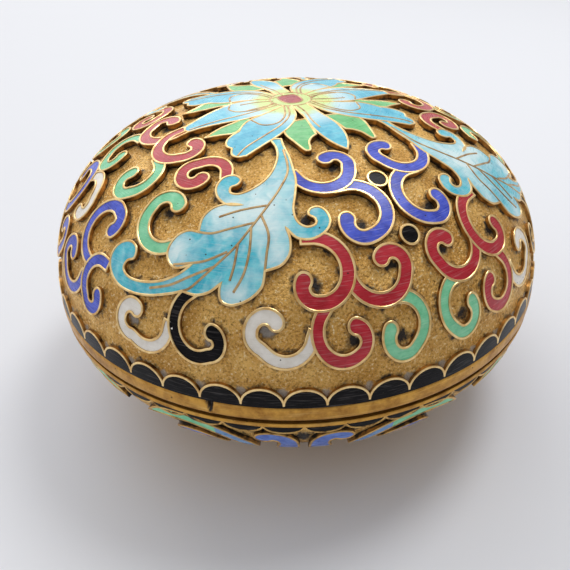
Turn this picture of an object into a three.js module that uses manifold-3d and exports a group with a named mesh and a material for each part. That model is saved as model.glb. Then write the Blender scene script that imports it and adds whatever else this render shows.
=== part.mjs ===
// A round cloisonne enamel trinket box with a high domed lid that lifts off, in millimetres.
// +Z is up and the origin is the centre of the foot's underside. The lid's ornament is mirrored
// about the XZ and YZ planes, so it is drawn once, for a quarter of the lid, and repeated.
import * as THREE from 'three';
import Module from 'manifold-3d';
import { mergeVertices } from 'three/addons/utils/BufferGeometryUtils.js';

const wasm = await Module();
wasm.setup();

// Driving dimensions
const rimRadius = 38;
const seamHeight = 20; // the lid meets the base here
const wall = 0.9;
const cellHeight = 1.0; // how far the enamel cells stand above the gilt ground
const cellGap = 0.3; // between the ground and the underside of a cell
const scrollWidth = 1.8;

const lidForm = { radius: rimRadius, rise: 26.4, fullness: 2.46 }; // a superellipse, 2 being an ellipse
const bowlForm = { radius: 37.6, rise: 19, fullness: 2 };
const bowlDrop = 1.1; // the bowl's widest circle lies this far under the seam

const band = { width: 2.4, lidHeight: 2.1, baseHeight: 1.2, chamfer: 0.3 };
const collar = { clearance: 0.3, thickness: 1.0, rise: 3.0 }; // the base's upstand inside the lid
const foot = { outer: 18.5, thickness: 1.8, height: 2.8 };
const border = { top: 47.6, bottom: 50.2 }; // arc lengths from the lid's top
const flower = { petals: 8, tip: 17, sepalTip: 15.5, waist: 10.9 };
const dots = { radius: 1.45, arcs: [23.2, 31.6] };

// How finely the round faces are divided
const around = 32;
const lidRings = 7;
const innerRings = 4;
const bowlRings = 5;
const scrollSteps = 6;
const leafCurlSteps = 4;

const finish = {
  gilt: new THREE.MeshStandardMaterial({ color: 0xc79a4a, roughness: 0.4, metalness: 0.9 }),
  giltGround: new THREE.MeshStandardMaterial({ color: 0xa87a35, roughness: 0.6, metalness: 0.8 }),
  turquoise: new THREE.MeshStandardMaterial({ color: 0x63bcd2, roughness: 0.3, metalness: 0 }),
  blue: new THREE.MeshStandardMaterial({ color: 0x3546b4, roughness: 0.3, metalness: 0 }),
  red: new THREE.MeshStandardMaterial({ color: 0xa51c2c, roughness: 0.3, metalness: 0 }),
  green: new THREE.MeshStandardMaterial({ color: 0x77c79b, roughness: 0.3, metalness: 0 }),
  white: new THREE.MeshStandardMaterial({ color: 0xe4e2dc, roughness: 0.3, metalness: 0 }),
  black: new THREE.MeshStandardMaterial({ color: 0x0d0b10, roughness: 0.3, metalness: 0 }),
};

const box = new THREE.Group();
const base = new THREE.Group();
const lid = new THREE.Group(); // its own zero height is the seam
lid.position.z = seamHeight;
box.add(base, lid);

function addPiece(group, name, geometry, material) {
  const piece = new THREE.Mesh(geometry, material);
  piece.name = name;
  group.add(piece);
  return piece;
}

// A form's profile at parameter t, which is 0 at the widest circle and a right angle on the axis,
// moved inwards from the surface by inset. The lid rises from the seam and the bowl hangs from it.
function profilePoint({ radius, rise, fullness }, t, inset) {
  const power = 2 / fullness;
  const [cos, sin] = [Math.max(Math.cos(t), 0), Math.sin(t)];
  const across = cos ** (2 - power) / radius;
  const up = sin ** (2 - power) / rise;
  const size = Math.hypot(across, up);
  const r = radius * cos ** power - (inset * across) / size;
  return [Math.max(r, 0), rise * sin ** power - (inset * up) / size];
}

const top = Math.PI / 2;
const lidProfile = (t, inset) => profilePoint(lidForm, t, inset);
const bowlProfile = (t, inset) => {
  const [r, depth] = profilePoint(bowlForm, t, inset);
  return [r, seamHeight - bowlDrop - depth];
};

// The parameter at which an inset profile crosses a height.
function crossing(profile, inset, height) {
  let [low, high] = [0, top];
  const startsBelow = profile(low, inset)[1] < height;
  for (let halving = 0; halving < 40; halving += 1) {
    const middle = (low + high) / 2;
    if ((profile(middle, inset)[1] < height) === startsBelow) low = middle;
    else high = middle;
  }
  return (low + high) / 2;
}

function sweepProfile(profile, inset, from, to, steps) {
  return Array.from({ length: steps + 1 }, (_, i) => profile(from + ((to - from) * i) / steps, inset));
}

function lathe(points) {
  const outline = points.map(([r, z]) => new THREE.Vector2(r, z));
  if (points[0][0] > 0 || points.at(-1)[0] > 0) outline.push(outline[0].clone());
  const geometry = new THREE.LatheGeometry(outline, around);
  geometry.rotateX(Math.PI / 2);
  return geometry;
}

// Bodies: the lid's shell stands on its band, and the bowl hangs from the base's band.
const baseEdge = seamHeight - band.baseHeight;
const lidRim = crossing(lidProfile, cellHeight, band.lidHeight);

function lidShell() {
  const inside = cellHeight + wall;
  return lathe([
    ...sweepProfile(lidProfile, inside, top, crossing(lidProfile, inside, band.lidHeight), innerRings),
    ...sweepProfile(lidProfile, cellHeight, lidRim, top, lidRings),
  ]);
}

function baseShell() {
  const inside = cellHeight + wall;
  const floor = foot.height + wall;
  const outerRim = crossing(bowlProfile, cellHeight, baseEdge);
  const innerRim = crossing(bowlProfile, inside, baseEdge);
  const outerFoot = crossing(bowlProfile, cellHeight, foot.height);
  return lathe([
    [0, foot.height],
    ...sweepProfile(bowlProfile, cellHeight, outerFoot, outerRim, bowlRings),
    ...sweepProfile(bowlProfile, inside, innerRim, crossing(bowlProfile, inside, floor), innerRings),
    [0, floor],
  ]);
}

function lidBand() {
  const inner = rimRadius - band.width;
  return lathe([
    [inner, 0],
    [rimRadius - band.chamfer, 0],
    [rimRadius, band.chamfer],
    [rimRadius, band.lidHeight],
    [inner, band.lidHeight],
  ]);
}

function baseBand() {
  const outside = rimRadius - band.width - collar.clearance;
  const inside = outside - collar.thickness;
  return lathe([
    [inside, baseEdge],
    [rimRadius, baseEdge],
    [rimRadius, seamHeight - band.chamfer],
    [rimRadius - band.chamfer, seamHeight],
    [outside, seamHeight],
    [outside, seamHeight + collar.rise],
    [inside, seamHeight + collar.rise],
  ]);
}

function footRing() {
  const inner = foot.outer - foot.thickness;
  return lathe([[inner, 0], [foot.outer, 0], [foot.outer, foot.height], [inner, foot.height]]);
}

addPiece(lid, 'lid_shell', lidShell(), finish.giltGround);
addPiece(lid, 'lid_band', lidBand(), finish.gilt);
addPiece(base, 'base_shell', baseShell(), finish.giltGround);
addPiece(base, 'base_band', baseBand(), finish.gilt);
addPiece(base, 'foot_ring', footRing(), finish.gilt);

// The ornament is drawn in a plan of the dome laid flat: [forward, sideways] in millimetres of
// arc from the top. Forward is -Y and sideways is -X.
const arcSteps = 400;
const arcTable = sweepProfile(lidProfile, 0, top, 0, arcSteps);
const arcLengths = [0];
for (let i = 1; i <= arcSteps; i += 1) {
  const [r0, z0] = arcTable[i - 1];
  const [r1, z1] = arcTable[i];
  arcLengths.push(arcLengths[i - 1] + Math.hypot(r1 - r0, z1 - z0));
}

function profileAtArc(arc) {
  const i = Math.max(arcLengths.findIndex((length) => length > arc), 1);
  const share = (arc - arcLengths[i - 1]) / (arcLengths[i] - arcLengths[i - 1]);
  return top * (1 - (i - 1 + share) / arcSteps);
}

// A plan point carried to the dome, at a height above the gilt ground.
function onDome([forward, sideways], height) {
  const arc = Math.hypot(forward, sideways);
  const [r, z] = lidProfile(profileAtArc(arc), cellHeight - height);
  const scale = arc > 0 ? r / arc : 0;
  return new THREE.Vector3(-sideways * scale, -forward * scale, z);
}

const polar = (radius, degrees) => {
  const angle = THREE.MathUtils.degToRad(degrees);
  return [radius * Math.cos(angle), radius * Math.sin(angle)];
};

// A scroll winds round its eye from the angle and radius of its tail, settles to the radius of
// its curl, and closes in to its head. Angles run from forward to sideways.
function scrollLine({ stem = [], eye, tail: [tailAngle, tailRadius], turn, head, curl = 1.8 }, steps) {
  const winding = Array.from({ length: steps + 1 }, (_, i) => {
    const along = i / steps;
    const wound = curl + (tailRadius - curl) * (1 - along) ** 2;
    const closing = Math.max(0, (along - 0.85) / 0.15);
    const [x, y] = polar(wound + (head - wound) * closing, tailAngle + turn * along);
    return [eye[0] + x, eye[1] + y];
  });
  return [...stem, ...winding];
}

// The two edges of a scroll, from its tail to its rounded head.
function scrollEdges(scroll, steps, spread = 0) {
  const line = scrollLine(scroll, steps);
  const width = scroll.width ?? scrollWidth;
  const headShare = 0.35;
  const [left, right] = [[], []];
  line.forEach(([x, y], i) => {
    const before = line[Math.max(i - 1, 0)];
    const after = line[Math.min(i + 1, line.length - 1)];
    const [dx, dy] = [after[0] - before[0], after[1] - before[1]];
    const share = i === line.length - 1 ? headShare : Math.min(1, 0.75 + i * 0.1);
    const half = ((width / 2) * share + spread) / Math.hypot(dx, dy);
    left.push([x - dy * half, y + dx * half]);
    right.push([x + dy * half, y - dx * half]);
  });
  return [left, right];
}

function toManifold(geometry) {
  const bare = geometry.clone();
  bare.deleteAttribute('normal');
  bare.deleteAttribute('uv');
  const merged = mergeVertices(bare, 1e-4);
  const build = (triVerts) => new wasm.Manifold(new wasm.Mesh({
    numProp: 3,
    vertProperties: new Float32Array(merged.attributes.position.array),
    triVerts,
  }));
  const corners = new Uint32Array(merged.index.array);
  const solid = build(corners);
  return solid.volume() > 0 ? solid : build(corners.toReversed());
}

function solidFrom(corners, faces) {
  const geometry = new THREE.BufferGeometry();
  const positions = corners.flatMap((corner) => corner.toArray());
  geometry.setAttribute('position', new THREE.Float32BufferAttribute(positions, 3));
  geometry.setIndex(faces.flat());
  return toManifold(geometry);
}

function toGeometry(solid) {
  const { vertProperties, triVerts } = solid.getMesh();
  const geometry = new THREE.BufferGeometry();
  geometry.setAttribute('position', new THREE.BufferAttribute(vertProperties.slice(), 3));
  geometry.setIndex(new THREE.BufferAttribute(triVerts.slice(), 1));
  return geometry;
}

// A strip that follows the dome: four corners at each section, closed at both ends.
function stripSolid([left, right], [low, high]) {
  const corners = left.flatMap((point, i) => [
    onDome(point, low), onDome(right[i], low), onDome(right[i], high), onDome(point, high),
  ]);
  const faces = [];
  for (let i = 0; i < left.length - 1; i += 1) {
    for (let side = 0; side < 4; side += 1) {
      const [a, b] = [4 * i + side, 4 * i + ((side + 1) % 4)];
      faces.push([a, b, b + 4], [a, b + 4, a + 4]);
    }
  }
  const last = 4 * (left.length - 1);
  faces.push([0, 2, 1], [0, 3, 2], [last, last + 1, last + 2], [last, last + 2, last + 3]);
  return solidFrom(corners, faces);
}

// An upright prism through the dome, of any outline in plan.
const prismReach = 4;

function prismSolid(drawn) {
  const clockwise = THREE.ShapeUtils.isClockWise(drawn.map(([x, y]) => new THREE.Vector2(x, y)));
  const outline = clockwise ? drawn.toReversed() : drawn;
  const caps = THREE.ShapeUtils.triangulateShape(outline.map(([x, y]) => new THREE.Vector2(x, y)), []);
  const count = outline.length;
  const corners = [-prismReach, prismReach].flatMap((height) => outline.map((point) => onDome(point, height)));
  const faces = caps.flatMap(([a, b, c]) => [[a, c, b], [a + count, b + count, c + count]]);
  for (let i = 0; i < count; i += 1) {
    const next = (i + 1) % count;
    faces.push([i, next, next + count], [i, next + count, i + count]);
  }
  return solidFrom(corners, faces);
}

// The cells' layer of the dome. Its rings match the shell's, so the two stay parallel.
const cellLayer = toManifold(lathe([
  ...sweepProfile(lidProfile, cellHeight - cellGap, top, lidRim, lidRings),
  ...sweepProfile(lidProfile, 0, lidRim, top, lidRings),
]));

// Each cell is cut back by the cells placed before it, grown by the gap they keep.
const placed = [];

function placeCell(name, solid, grown, material) {
  const cell = placed.reduce((whole, neighbour) => whole.subtract(neighbour), solid);
  const bodies = cell.decompose();
  bodies.sort((a, b) => b.volume() - a.volume());
  addPiece(lid, name, toGeometry(bodies[0]), material);
  placed.push(grown);
}

// Flower: eight petals with a green sepal in each space between them.
function flowerOutline(spread) {
  const spacing = 360 / flower.petals;
  const stops = [
    [0, flower.tip], [0.26, 12.2], [0.36, 12.0], [0.5, flower.sepalTip], [0.64, 11.6], [0.76, flower.waist],
  ];
  return Array.from({ length: flower.petals }, (_, petal) => (
    stops.map(([share, radius]) => polar(radius + spread, (petal + share) * spacing))
  )).flat();
}

// Acanthus leaf: it grows from under the flower, has lobes on both sides, and curls three times.
const leaf = {
  stem: [[12.6, 7.7], [19.0, 9.6], [23.6, 12.2]],
  outerLobes: [
    [25.1, 14.0], [28.3, 14.9], [28.7, 18.2], [30.4, 21.2], [29.4, 24.4], [26.9, 23.8], [26.4, 26.6],
    [24.7, 28.1],
  ],
  innerLobes: [[22.6, 25.5], [21.0, 27.6], [18.9, 26.6], [19.4, 23.4], [18.1, 19.3]],
  stemBack: [[18.1, 15.3], [17.4, 12.6], [15.1, 9.9], [13.0, 8.9]],
  outerCurl: { eye: [25.9, 10.6], tail: [110, 2.4], turn: -277, head: 1.0, curl: 1.6, width: 1.4 },
  tailCurl: {
    stem: [[22.9, 29.3], [19.3, 33.2]],
    eye: [15.4, 32.9], tail: [45, 2.3], turn: 229, head: 1.1, width: 1.9,
  },
  innerCurl: { eye: [16.6, 16.4], tail: [12, 2.4], turn: 200, head: 0.9, curl: 1.4, width: 1.4 },
};

function aroundCurl(curl) {
  const [inside, outside] = scrollEdges(curl, leafCurlSteps);
  return [...outside, ...inside.toReversed()];
}

const leafOutline = [
  ...leaf.stem, ...aroundCurl(leaf.outerCurl), ...leaf.outerLobes, ...aroundCurl(leaf.tailCurl),
  ...leaf.innerLobes, ...aroundCurl(leaf.innerCurl), ...leaf.stemBack,
];

// Scrolls in a quarter of the lid. Those that spring from one another are one cell.
const sprays = {
  blue_pair: [finish.blue, [
    { eye: [19.0, 4.3], tail: [88, 5.0], turn: -285, head: 1.1 },
    { eye: [28.3, 5.3], tail: [184, 5.6], turn: 300, head: 1.2 },
  ]],
  red_spray: [finish.red, [
    { eye: [33.0, 13.6], tail: [199, 5.2], turn: 296, head: 1.5 },
    { eye: [34.1, 3.7], tail: [101, 5.8], turn: -318, head: 1.5 },
    { eye: [40.5, 11.9], tail: [164, 5.6], turn: -310, head: 1.2 },
  ]],
  red_pair: [finish.red, [
    { eye: [11.5, 19.9], tail: [-56, 4.3], turn: -318, head: 1.0 },
    { eye: [5.2, 18.7], tail: [185, 5.0], turn: -295, head: 1.3 },
  ]],
  blue_spray: [finish.blue, [
    { eye: [13.5, 40.2], tail: [265, 4.6], turn: -300, head: 1.1 },
    { eye: [8.8, 31.7], tail: [78, 6.4], turn: 303, head: 1.1 },
    { eye: [3.4, 40.4], tail: [2, 7.0], turn: 302, head: 1.2 },
  ]],
  green_front: [finish.green, [{ eye: [43.0, 4.9], tail: [188, 4.8], turn: 309, head: 1.4 }]],
  green_leaf: [finish.green, [{ eye: [14.1, 25.1], tail: [22, 5.0], turn: 259, head: 1.4 }]],
  green_side: [finish.green, [{ eye: [4.7, 27.0], tail: [-88, 4.1], turn: 303, head: 1.4 }]],
  white_front: [finish.white, [{ eye: [34.7, 21.6], tail: [-50, 5.4], turn: 306, head: 1.7 }]],
  black: [finish.black, [{ eye: [31.3, 29.2], tail: [191, 5.9], turn: -314, head: 1.4 }]],
  white_side: [finish.white, [{ eye: [21.9, 36.7], tail: [-36, 6.1], turn: 300, head: 1.75 }]],
};
const loneScroll = { eye: [-0.9, 34.3], tail: [203, 5.0], turn: 264, head: 1.4 };

const flip = (points, [forward, sideways]) => points.map(([f, s]) => [f * forward, s * sideways]);

function spraySolid(scrolls, sides, spread, heights) {
  return scrolls
    .map((scroll) => scrollEdges(scroll, scrollSteps, spread).map((edge) => flip(edge, sides)))
    .map((edges) => stripSolid(edges, heights))
    .reduce((whole, strip) => whole.add(strip));
}

const cellHeights = [cellGap, cellHeight];
const cuttingHeights = [-cellHeight, 2 * cellHeight];

function placeSpray(name, scrolls, sides, material) {
  placeCell(
    name,
    spraySolid(scrolls, sides, 0, cellHeights),
    spraySolid(scrolls, sides, cellGap, cuttingHeights),
    material,
  );
}

placeCell(
  'lid_flower',
  prismSolid(flowerOutline(0)).intersect(cellLayer),
  prismSolid(flowerOutline(cellGap)),
  finish.turquoise,
);

const quarters = { front_left: [1, 1], front_right: [1, -1], back_left: [-1, 1], back_right: [-1, -1] };

for (const [place, sides] of Object.entries(quarters)) {
  const prism = prismSolid(flip(leafOutline, sides));
  placeCell(`lid_leaf_${place}`, prism.intersect(cellLayer), prism, finish.turquoise);
}
for (const [name, [material, scrolls]] of Object.entries(sprays)) {
  for (const [place, sides] of Object.entries(quarters)) {
    placeSpray(`lid_${name}_${place}`, scrolls, sides, material);
  }
}
placeSpray('lid_white_left', [loneScroll], [1, 1], finish.white);
placeSpray('lid_white_right', [loneScroll], [-1, -1], finish.white);

// Dots: short round cells on the centre line, each square to the dome.
const dotHeight = cellHeight - cellGap;

for (const [place, side] of [['front', 1], ['back', -1]]) {
  dots.arcs.forEach((arc, i) => {
    const dot = addPiece(
      lid,
      `lid_dot_${place}_${i + 1}`,
      new THREE.CylinderGeometry(dots.radius, dots.radius, dotHeight, 8),
      finish.black,
    );
    const foot = onDome([arc * side, 0], cellGap);
    const head = onDome([arc * side, 0], cellHeight);
    dot.position.lerpVectors(foot, head, 0.5);
    dot.quaternion.setFromUnitVectors(new THREE.Vector3(0, 1, 0), head.sub(foot).normalize());
  });
}

// The black border round the lid's edge.
const borderTop = profileAtArc(border.top);
const borderBottom = profileAtArc(border.bottom);

addPiece(lid, 'lid_border', lathe([
  ...sweepProfile(lidProfile, cellHeight - cellGap, borderTop, borderBottom, 1),
  ...sweepProfile(lidProfile, 0, borderBottom, borderTop, 1),
]), finish.black);

export default box;
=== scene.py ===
# A round cloisonne enamel box with a domed lid, for Blender 4.5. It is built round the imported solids:
# lathe-turned gilt shells and bands, flat wires soldered on edge to the ground, and enamel between them.
import bisect
import math

import bmesh
import bpy
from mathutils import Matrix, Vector, kdtree, noise


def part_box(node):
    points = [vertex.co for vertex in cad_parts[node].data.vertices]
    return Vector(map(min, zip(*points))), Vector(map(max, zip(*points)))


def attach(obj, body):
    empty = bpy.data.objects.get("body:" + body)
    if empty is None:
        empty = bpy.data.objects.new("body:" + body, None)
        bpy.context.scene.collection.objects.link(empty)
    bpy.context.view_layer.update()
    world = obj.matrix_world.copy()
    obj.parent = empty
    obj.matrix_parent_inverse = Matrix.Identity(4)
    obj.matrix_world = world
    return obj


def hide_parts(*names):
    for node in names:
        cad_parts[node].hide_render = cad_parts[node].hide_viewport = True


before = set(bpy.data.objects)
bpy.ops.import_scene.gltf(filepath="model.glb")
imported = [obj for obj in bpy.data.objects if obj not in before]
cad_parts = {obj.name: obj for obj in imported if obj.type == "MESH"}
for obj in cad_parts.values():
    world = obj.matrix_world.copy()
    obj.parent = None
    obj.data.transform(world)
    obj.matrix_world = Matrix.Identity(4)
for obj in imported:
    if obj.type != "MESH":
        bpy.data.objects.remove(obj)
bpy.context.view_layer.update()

mm = 0.001

# Sizes that the frame gives, in millimetres
bandLow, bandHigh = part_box("lid_band")
baseBandLow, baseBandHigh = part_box("base_band")
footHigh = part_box("foot_ring")[1]
rim = bandHigh.x / mm
seam = bandLow.z / mm
bandTop = bandHigh.z / mm
baseEdge = baseBandLow.z / mm
footTop = footHigh.z / mm
footOuter = footHigh.x / mm
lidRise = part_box("lid_flower")[1].z / mm - seam

# What stands on the ground, in mm: the wires' height, thickness and eased corners, how far the enamel is
# sunk below their tops, how much lower each cell lies than the last, how deep all are rooted, and the wall
cell = {"height": 1.0, "wire": 0.31, "easing": 0.07, "mitre": 0.62, "sunk": 0.05, "step": 0.0012,
        "root": -0.2, "wall": 0.9}
lidForm = {"radius": rim, "rise": lidRise, "fullness": 2.46}
bowlForm = {"radius": rim - 0.4, "rise": 19.0, "fullness": 2.0, "drop": 1.1}


# Forms: the shells' profiles, by the arc along them, and what stands on them

def formPoint(form, t, inset):  # a superellipse, with inset mm taken off square to it
    power = 2 / form["fullness"]
    cos, sin = max(math.cos(t), 0), math.sin(t)
    across = cos ** (2 - power) / form["radius"]
    up = sin ** (2 - power) / form["rise"]
    size = math.hypot(across, up)
    r = form["radius"] * cos ** power - inset * across / size
    return r, form["rise"] * sin ** power - inset * up / size


def arcTable(form, start, end):  # a row of (r, z) and the outward direction at each step of arc
    rows = []
    step, count = 0.05, 4000
    travelled, wanted = 0, 0
    before = None
    for i in range(count + 1):
        t = start + (end - start) * i / count
        here = formPoint(form, t, 0)
        travelled += math.dist(here, before) if before else 0
        before = here
        while travelled >= wanted:
            skin = formPoint(form, t, 1)
            rows.append((here[0], here[1], here[0] - skin[0], here[1] - skin[1]))
            wanted += step
    return {"rows": rows, "step": step, "length": travelled}


lidTable = arcTable(lidForm, math.pi / 2, 0)
bowlTable = arcTable(bowlForm, 0, math.pi / 2)


def alongForm(table, arc, height):
    place = min(max(arc / table["step"], 0), len(table["rows"]) - 1.001)
    index = int(place)
    share = place - index
    low, high = table["rows"][index], table["rows"][index + 1]
    r, z, outR, outZ = (a + (b - a) * share for a, b in zip(low, high))
    lift = height - cell["height"]
    return r + outR * lift, z + outZ * lift


def onLid(point, height):  # point is (forward, sideways), in mm of arc from the lid's top
    arc = math.hypot(point[0], point[1])
    r, z = alongForm(lidTable, arc, height)
    scale = r / arc if arc > 1e-6 else 0
    return Vector((-point[1] * scale, -point[0] * scale, seam + z)) * mm


def planOf(co):  # the plan point under a place near the wires' tops
    radius = math.hypot(co.x, co.y) / mm
    row = bisect.bisect_left(lidTable["rows"], radius, key=lambda entry: entry[0])
    scale = row * lidTable["step"] / max(radius, 1e-6) / mm
    return -co.y * scale, -co.x * scale


def riseOver(form, r, z):  # how far a place stands off the ground, in mm
    power = form["fullness"]
    across, up = max(r, 0) / form["radius"], max(z, 0) / form["rise"]
    swell = (across ** power + up ** power) ** (1 / power)
    slope = math.hypot(across ** (power - 1) / form["radius"], up ** (power - 1) / form["rise"])
    return cell["height"] + (swell - 1) * swell ** (power - 1) / slope


# The base: which way its front motif faces, how many there are, how far its ground is lifted in mm, and the
# share that distances from its wires and curls are cut to, which makes its dirt and painted shade wider
base = {"facing": math.radians(244.5), "motifs": 5, "ground": 0.35, "grimeAndShade": 0.6}


def onBowl(point, height):  # point is (around, down), in mm from the middle of the front motif
    r, z = alongForm(bowlTable, point[1], height)
    angle = base["facing"] + point[0] / bowlForm["radius"]
    return Vector((r * math.cos(angle), r * math.sin(angle), seam - bowlForm["drop"] - z)) * mm


# Lines in the plan

def polar(radius, degrees):
    return radius * math.cos(math.radians(degrees)), radius * math.sin(math.radians(degrees))


lineStep = 0.4  # mm between the points of a smooth line


def between(p, q, r, s, t):  # the share t of the way from q to r, curving with p and s
    cubic = (3 * q - p - 3 * r + s) * t ** 3
    return 0.5 * (2 * q + (r - p) * t + (2 * p - 5 * q + 4 * r - s) * t * t + cubic)


def smoothLine(points):  # a Catmull-Rom curve through the points
    line = []
    ends = [points[0]] + list(points) + [points[-1]]
    for four in zip(ends, ends[1:], ends[2:], ends[3:]):
        steps = max(1, math.ceil(math.dist(four[1], four[2]) / lineStep))
        line += [tuple(between(*values, i / steps) for values in zip(*four)) for i in range(steps)]
    return line + [tuple(points[-1])]


def closedOutline(strokes):  # each stroke is smooth, and they meet in corners
    return [point for stroke in strokes for point in smoothLine(stroke)[:-1]]


def roundOutline(middle, radius, count):
    spokes = (polar(radius, 360 / count * i) for i in range(count))
    return [(middle[0] + x, middle[1] + y) for x, y in spokes]


def flip(points, sides):
    return [(x * sides[0], y * sides[1]) for x, y in points]


def inside(point, outline):
    x, y = point
    found = False
    for (x0, y0), (x1, y1) in zip(outline, outline[1:] + outline[:1]):
        if (y0 > y) != (y1 > y) and x < x0 + (x1 - x0) * (y - y0) / (y1 - y0):
            found = not found
    return found


# A scroll's strip: its width in mm, the share of it at the tail and where the rest is gained, the swelling of
# the head and where it starts, the head's rounding, and how far the tail runs under what it springs from
scrollShape = {"width": 1.72, "tail": 0.85, "gained": 0.3, "swell": 0.15, "swells": 0.75, "steps": 44,
               "cap": 6, "capTurn": 84, "reach": 1.0, "hold": 0.5, "closing": 0.5}


def scrollEdges(scroll):
    # A spiral about the eye: it comes in from the tail's angle and radius, runs round once past the share
    # called hold, and closes slowly through its second half to a blunt head.
    (eyeX, eyeY), (tailAngle, tailRadius) = scroll["eye"], scroll["tail"]
    hold, closing = (scroll.get(key, scrollShape[key]) for key in ("hold", "closing"))
    centre = []
    for i in range(scrollShape["steps"] + 1):
        t = i / scrollShape["steps"]
        x = min(t / hold, 1)
        outward = 1 - x * x * (3 - 2 * x)
        radius = scroll["round"] + (tailRadius - scroll["round"]) * outward - closing * max(0, 2 * t - 1)
        x, y = polar(radius, tailAngle + scroll["turn"] * t)
        centre.append((eyeX + x, eyeY + y))
    reach = scrollShape["reach"] / math.dist(centre[0], centre[1])
    start = [a + (a - b) * reach for a, b in zip(centre[0], centre[1])]
    centre = smoothLine([start, centre[0]])[:-1] + centre
    half = scrollShape["width"] / 2
    left, right = [], []
    for i, (x, y) in enumerate(centre):
        before, after = centre[max(i - 1, 0)], centre[min(i + 1, len(centre) - 1)]
        dx, dy = after[0] - before[0], after[1] - before[1]
        size = math.hypot(dx, dy)
        dx, dy = dx / size, dy / size
        share = i / (len(centre) - 1)
        wide = half * min(1, scrollShape["tail"] + (1 - scrollShape["tail"]) * share / scrollShape["gained"])
        wide *= 1 + scrollShape["swell"] * max(0, share - scrollShape["swells"]) / (1 - scrollShape["swells"])
        left.append((x - dy * wide, y + dx * wide))
        right.append((x + dy * wide, y - dx * wide))
    for i in range(1, scrollShape["cap"] + 1):
        turn = math.radians(scrollShape["capTurn"] * i / scrollShape["cap"])
        ahead, wide = (size * half * (1 + scrollShape["swell"]) for size in (math.sin(turn), math.cos(turn)))
        left.append((x + dx * ahead - dy * wide, y + dy * ahead + dx * wide))
        right.append((x + dx * ahead + dy * wide, y + dy * ahead - dx * wide))
    return left, right


# Mesh helpers

def sweep(rings, closed=False):  # extrudes the first ring of points through the others
    mesh = bmesh.new()
    count = len(rings[0])
    loop = [mesh.verts.new(point) for point in rings[0]]
    edges = [mesh.edges.new((loop[i], loop[(i + 1) % count])) for i in range(count)]
    starts = list(edges)
    for ring in rings[1:]:
        made = bmesh.ops.extrude_edge_only(mesh, edges=edges)["geom"]
        fresh = {item for item in made if isinstance(item, bmesh.types.BMVert)}
        edges = [item for item in made if isinstance(item, bmesh.types.BMEdge)]
        loop = [next(v for v in (e.other_vert(old) for e in old.link_edges) if v in fresh) for old in loop]
        for vert, point in zip(loop, ring):
            vert.co = point
    if closed:
        bmesh.ops.bridge_loops(mesh, edges=edges + starts)
    else:
        bmesh.ops.contextual_create(mesh, geom=edges)
        bmesh.ops.contextual_create(mesh, geom=starts)
    bmesh.ops.recalc_face_normals(mesh, faces=mesh.faces[:])
    return mesh


def joinInto(target, part):
    held = bpy.data.meshes.new("part")
    part.to_mesh(held)
    part.free()
    target.from_mesh(held)
    bpy.data.meshes.remove(held)


def spinProfile(profile, steps):  # profile is (radius, height) in mm, closed or ending on the axis
    mesh = bmesh.new()
    verts = [mesh.verts.new((r * mm, 0, z * mm)) for r, z in profile]
    edges = [mesh.edges.new(pair) for pair in zip(verts, verts[1:])]
    if profile[0][0] > 0:
        edges.append(mesh.edges.new((verts[-1], verts[0])))
    bmesh.ops.spin(mesh, geom=verts + edges, axis=(0, 0, 1), cent=(0, 0, 0), angle=2 * math.pi,
                   steps=steps, use_merge=True)
    bmesh.ops.remove_doubles(mesh, verts=mesh.verts[:], dist=1e-6)
    bmesh.ops.dissolve_degenerate(mesh, dist=1e-7, edges=mesh.edges[:])
    bmesh.ops.recalc_face_normals(mesh, faces=mesh.faces[:])
    return mesh


creaseAngle = math.radians(40)  # a sharper edge than this is shaded as a crease


def finishPiece(name, mesh, materials, replaced=()):
    for face in mesh.faces:
        face.smooth = True
    for edge in mesh.edges:
        edge.smooth = edge.calc_face_angle(0) < creaseAngle
    data = bpy.data.meshes.new(name)
    mesh.to_mesh(data)
    mesh.free()
    for material in materials:
        data.materials.append(material)
    piece = bpy.data.objects.new(name, data)
    bpy.context.scene.collection.objects.link(piece)
    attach(piece, "root")
    if replaced:
        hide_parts(*replaced)
    return piece


def paint(piece, name, valueAt):  # a number for each point, worked out from its place
    layer = piece.data.attributes.new(name, "FLOAT", "POINT")
    layer.data.foreach_set("value", [valueAt(vert.co) for vert in piece.data.vertices])


# Materials

def linear(hexColour):
    channels = [int(hexColour[i:i + 2], 16) / 255 for i in (1, 3, 5)]
    return [c / 12.92 if c <= 0.04045 else ((c + 0.055) / 1.055) ** 2.4 for c in channels] + [1]


def newMaterial(name):
    material = bpy.data.materials.new(name)
    material.use_nodes = True
    tree = material.node_tree
    tree.nodes.remove(tree.nodes["Principled BSDF"])
    return material, tree, tree.nodes["Material Output"].inputs[0]


def addNode(tree, kind, settings, out=0):
    # settings are the node's own properties, or its sockets' values: numbers, hex colours or other sockets
    node = tree.nodes.new("ShaderNode" + kind)
    for key, value in settings.items():
        if isinstance(key, str) and hasattr(node, key):
            setattr(node, key, value)
        elif isinstance(value, bpy.types.NodeSocket):
            tree.links.new(value, node.inputs[key])
        else:
            node.inputs[key].default_value = linear(value) if isinstance(value, str) else value
    return node.outputs[out]


def perMm(size):  # a texture scale whose features are about size millimetres across
    return 1 / (size * mm)


# Sockets by number: a Mix node of colours has its share at 0 and its colours at 6 and 7. MapRange takes the
# range at 1 and 2 to the one at 3 and 4. MULTIPLY_ADD gives socket 0 times socket 1, plus socket 2.
colours = {"data_type": "RGBA"}


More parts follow.
